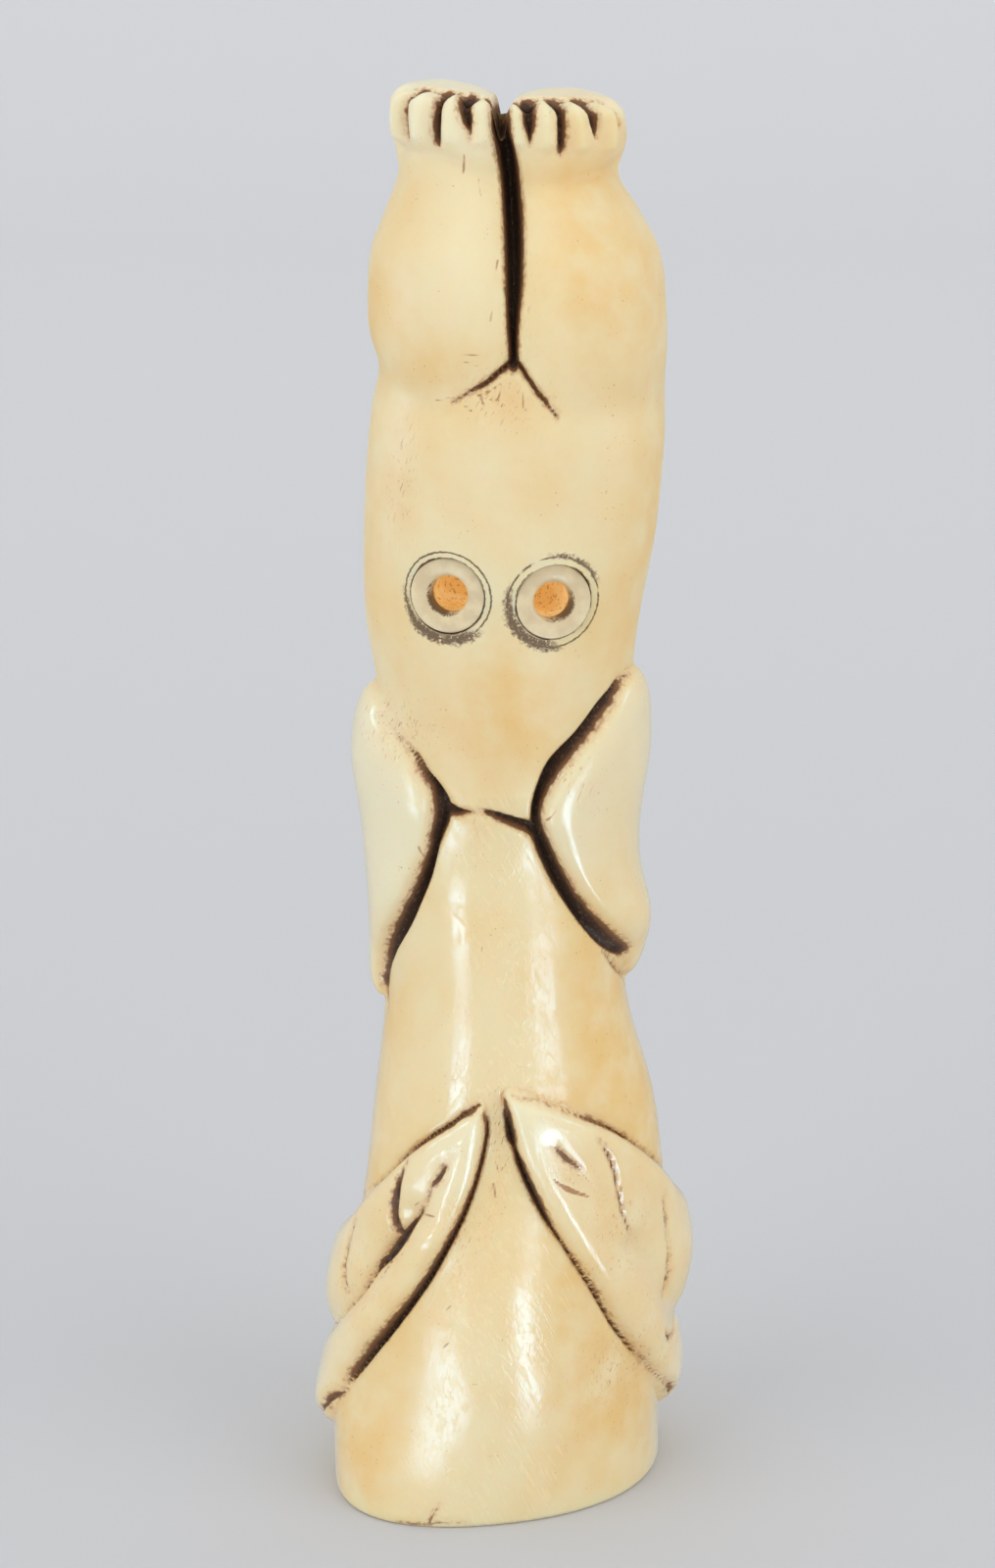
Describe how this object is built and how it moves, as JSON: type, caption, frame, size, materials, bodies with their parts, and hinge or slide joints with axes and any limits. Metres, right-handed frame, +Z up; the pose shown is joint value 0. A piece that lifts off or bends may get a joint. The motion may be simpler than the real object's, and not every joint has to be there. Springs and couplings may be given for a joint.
{
  "type": "netsuke",
  "caption": "Slim standing netsuke: a crouching figure carved head down on a smooth stem, with ringed cord holes in its back.",
  "frame": {"origin": "middle of the flat foot that the netsuke stands on", "axes": "+Z up along the length of the carving, -Y the carved back with the cord holes, +X to the right of the back"},
  "size_m": [0.022, 0.0192, 0.0808],
  "materials": {
    "carved_ivory": "polished ivory-like carving, cream yellow, with dark brown stain in the cuts",
    "ring": "pale grey-white polished ring"
  },
  "bodies": {
    "root": {"carved_figure": "carved_ivory", "cord_hole_ring_left": "ring", "cord_hole_ring_right": "ring"}
  },
  "joints": []
}
